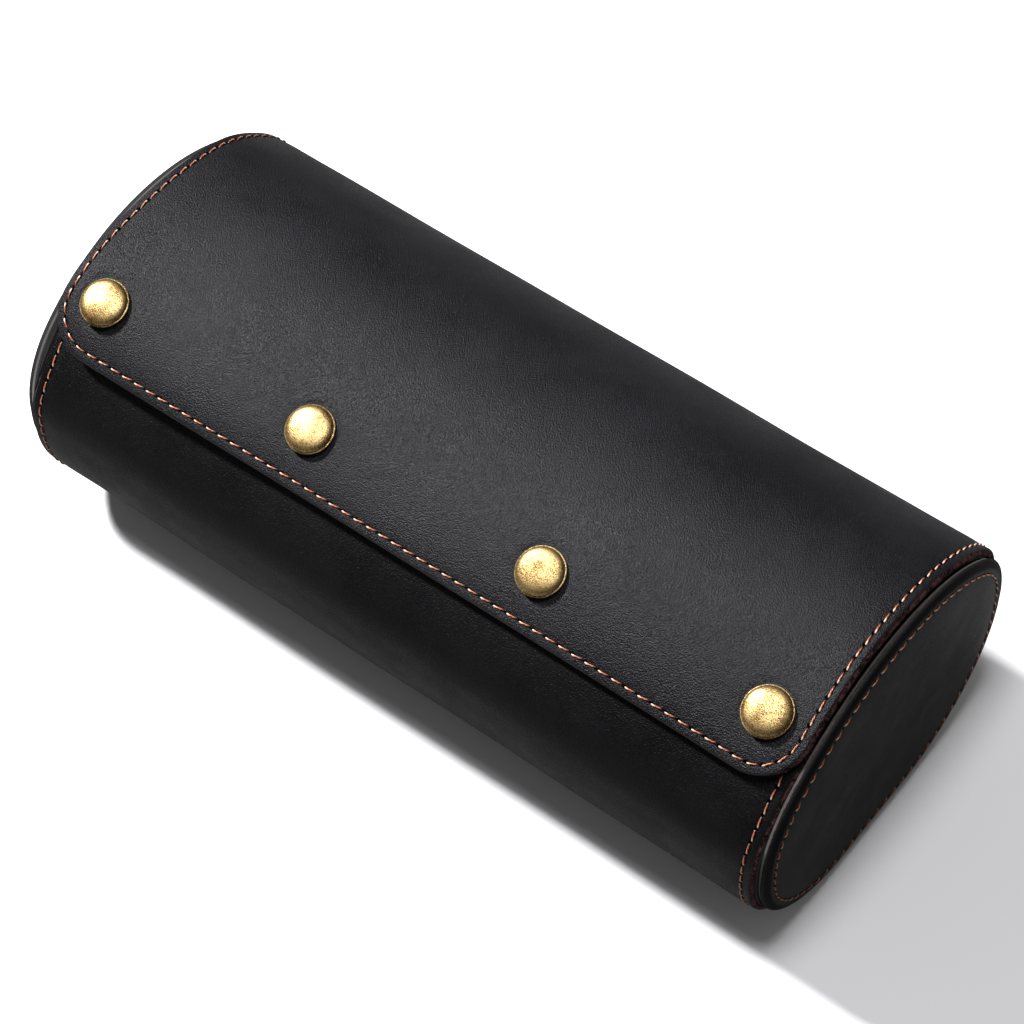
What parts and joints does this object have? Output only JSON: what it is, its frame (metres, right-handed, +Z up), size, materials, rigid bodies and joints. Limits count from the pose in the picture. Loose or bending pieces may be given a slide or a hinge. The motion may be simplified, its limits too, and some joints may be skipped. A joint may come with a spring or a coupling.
{
  "type": "watch roll",
  "caption": "Oval leather roll that stores watches on removable pillows, closed by a flap with domed press studs.",
  "frame": {"origin": "middle of the roll on the surface that it stands on", "axes": "+X along the roll to its right end seen from the front, +Y to the back where the flap folds, +Z up"},
  "size_m": [0.2262, 0.1028, 0.0818],
  "materials": {
    "leather": "waxed black leather, soft sheen, fine grain",
    "board": "grey fibre board",
    "lining": "short suede nap",
    "brass": "brushed antique brass, darker in the marks",
    "stud_brass": "plain antique brass",
    "pillow": "soft suede cover"
  },
  "bodies": {
    "body": {"body_leather": "leather", "core_board": "board", "tray_lining": "lining", "divider_left": "lining", "divider_right": "lining", "end_leather_left": "leather", "end_board_left": "board", "end_lining_left": "lining", "end_leather_right": "leather", "end_board_right": "board", "end_lining_right": "lining", "snap_stud_1": "stud_brass", "snap_stud_2": "stud_brass", "snap_stud_3": "stud_brass", "snap_stud_4": "stud_brass", "snap_post_1": "stud_brass", "snap_post_2": "stud_brass", "snap_post_3": "stud_brass", "snap_post_4": "stud_brass"},
    "flap_top": {"flap_top_leather": "leather", "flap_top_board": "board", "flap_top_lining": "lining"},
    "flap_front": {"flap_front_leather": "leather", "flap_front_board": "board", "flap_front_lining": "lining", "snap_cap_1": "brass", "snap_cap_2": "brass", "snap_cap_3": "brass", "snap_cap_4": "brass", "snap_socket_1": "stud_brass", "snap_socket_2": "stud_brass", "snap_socket_3": "stud_brass", "snap_socket_4": "stud_brass"},
    "pillow_left": {"pillow_left": "pillow"},
    "pillow_middle": {"pillow_middle": "pillow"},
    "pillow_right": {"pillow_right": "pillow"}
  },
  "joints": [
    {"name": "flap_fold", "type": "hinge", "parent": "body", "child": "flap_top", "pos_m": [0, 0.04859, 0.0557], "axis": [-1, 0, 0], "range_deg": [0, 165]},
    {"name": "flap_flex", "type": "hinge", "parent": "flap_top", "child": "flap_front", "pos_m": [0, -0.00803, 0.08166], "axis": [-1, 0, 0], "range_deg": [0, 50]},
    {"name": "pillow_left_lift", "type": "slide", "parent": "body", "child": "pillow_left", "axis": [0, 0, 1], "range_m": [0, 0.012]},
    {"name": "pillow_middle_lift", "type": "slide", "parent": "body", "child": "pillow_middle", "axis": [0, 0, 1], "range_m": [0, 0.012]},
    {"name": "pillow_right_lift", "type": "slide", "parent": "body", "child": "pillow_right", "axis": [0, 0, 1], "range_m": [0, 0.012]}
  ]
}
